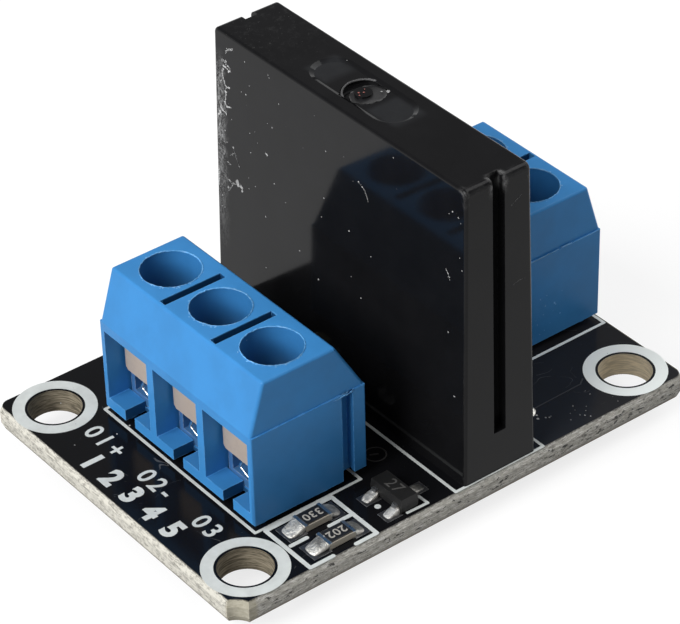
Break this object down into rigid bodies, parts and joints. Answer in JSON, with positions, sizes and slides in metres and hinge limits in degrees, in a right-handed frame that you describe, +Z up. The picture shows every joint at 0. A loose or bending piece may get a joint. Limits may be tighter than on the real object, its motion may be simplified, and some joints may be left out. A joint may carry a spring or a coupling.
{
  "type": "relay module board",
  "caption": "Small circuit board with an upright slim relay between screw terminals, a transistor and chip resistors.",
  "frame": {"origin": "centre of the four mounting holes, on the underside of the board", "axes": "+X along the board towards the two-way output terminal, +Y along the relay, +Z up out of the board's parts side"},
  "size_m": [0.0348, 0.025, 0.0236],
  "materials": {
    "solder_mask": "glossy",
    "relay_plastic": "glossy",
    "relay_base_resin": "matte",
    "blue_plastic": "satin",
    "tinned_metal": "satin",
    "contact_metal": "satin",
    "cage_metal": "bright",
    "screw_metal": "bright",
    "solder": "bright",
    "chip_ceramic": "matte",
    "dark_glaze": "satin",
    "mould_compound": "matte",
    "lens_resin": "glossy"
  },
  "bodies": {
    "board": {"board": "solder_mask", "relay_case": "relay_plastic", "relay_base": "relay_base_resin", "relay_lead_1": "tinned_metal", "relay_lead_2": "tinned_metal", "relay_lead_3": "tinned_metal", "relay_lead_4": "tinned_metal", "relay_solder": "solder", "input_housing": "blue_plastic", "output_housing": "blue_plastic", "input_solder": "solder", "output_solder": "solder", "resistor_1_body": "chip_ceramic", "resistor_1_caps": "tinned_metal", "resistor_1_glaze": "dark_glaze", "resistor_1_solder": "solder", "resistor_2_body": "chip_ceramic", "resistor_2_caps": "tinned_metal", "resistor_2_glaze": "dark_glaze", "resistor_2_solder": "solder", "indicator_body": "chip_ceramic", "indicator_caps": "tinned_metal", "indicator_lens": "lens_resin", "indicator_solder": "solder", "transistor_body": "mould_compound", "transistor_leads": "tinned_metal", "transistor_solder": "solder", "diode_body": "mould_compound", "diode_leads": "tinned_metal", "diode_solder": "solder", "test_point": "solder", "input_contact_1": "contact_metal", "input_contact_2": "contact_metal", "input_contact_3": "contact_metal", "output_contact_1": "contact_metal", "output_contact_2": "contact_metal"},
    "input_screw_1_body": {"input_screw_1": "screw_metal"},
    "input_cage_1_body": {"input_cage_1": "cage_metal"},
    "input_screw_2_body": {"input_screw_2": "screw_metal"},
    "input_cage_2_body": {"input_cage_2": "cage_metal"},
    "input_screw_3_body": {"input_screw_3": "screw_metal"},
    "input_cage_3_body": {"input_cage_3": "cage_metal"},
    "output_screw_1_body": {"output_screw_1": "screw_metal"},
    "output_cage_1_body": {"output_cage_1": "cage_metal"},
    "output_screw_2_body": {"output_screw_2": "screw_metal"},
    "output_cage_2_body": {"output_cage_2": "cage_metal"}
  },
  "joints": [
    {"name": "input_screw_1_turn", "type": "hinge", "parent": "board", "child": "input_screw_1_body", "pos_m": [-0.00879, -0.00515, 0.009], "axis": [0, 0, -1], "range_deg": [0, 972.1]},
    {"name": "input_cage_1_rise", "type": "slide", "parent": "board", "child": "input_cage_1_body", "axis": [0, 0, 1], "range_m": [0, 0.00135]},
    {"name": "input_screw_2_turn", "type": "hinge", "parent": "board", "child": "input_screw_2_body", "pos_m": [-0.00879, -0.00015, 0.009], "axis": [0, 0, -1], "range_deg": [0, 972.1]},
    {"name": "input_cage_2_rise", "type": "slide", "parent": "board", "child": "input_cage_2_body", "axis": [0, 0, 1], "range_m": [0, 0.00135]},
    {"name": "input_screw_3_turn", "type": "hinge", "parent": "board", "child": "input_screw_3_body", "pos_m": [-0.00879, 0.00485, 0.009], "axis": [0, 0, -1], "range_deg": [0, 972.1]},
    {"name": "input_cage_3_rise", "type": "slide", "parent": "board", "child": "input_cage_3_body", "axis": [0, 0, 1], "range_m": [0, 0.00135]},
    {"name": "output_screw_1_turn", "type": "hinge", "parent": "board", "child": "output_screw_1_body", "pos_m": [0.01334, 0.0029, 0.009], "axis": [0, 0, -1], "range_deg": [0, 972.1]},
    {"name": "output_cage_1_rise", "type": "slide", "parent": "board", "child": "output_cage_1_body", "axis": [0, 0, 1], "range_m": [0, 0.00135]},
    {"name": "output_screw_2_turn", "type": "hinge", "parent": "board", "child": "output_screw_2_body", "pos_m": [0.01334, -0.0021, 0.009], "axis": [0, 0, -1], "range_deg": [0, 972.1]},
    {"name": "output_cage_2_rise", "type": "slide", "parent": "board", "child": "output_cage_2_body", "axis": [0, 0, 1], "range_m": [0, 0.00135]}
  ],
  "couplings": [
    {"joint": "input_screw_1_turn", "follows": "input_cage_1_rise", "rad_per_m": 12566},
    {"joint": "input_screw_2_turn", "follows": "input_cage_2_rise", "rad_per_m": 12566},
    {"joint": "input_screw_3_turn", "follows": "input_cage_3_rise", "rad_per_m": 12566},
    {"joint": "output_screw_1_turn", "follows": "output_cage_1_rise", "rad_per_m": 12566},
    {"joint": "output_screw_2_turn", "follows": "output_cage_2_rise", "rad_per_m": 12566}
  ]
}
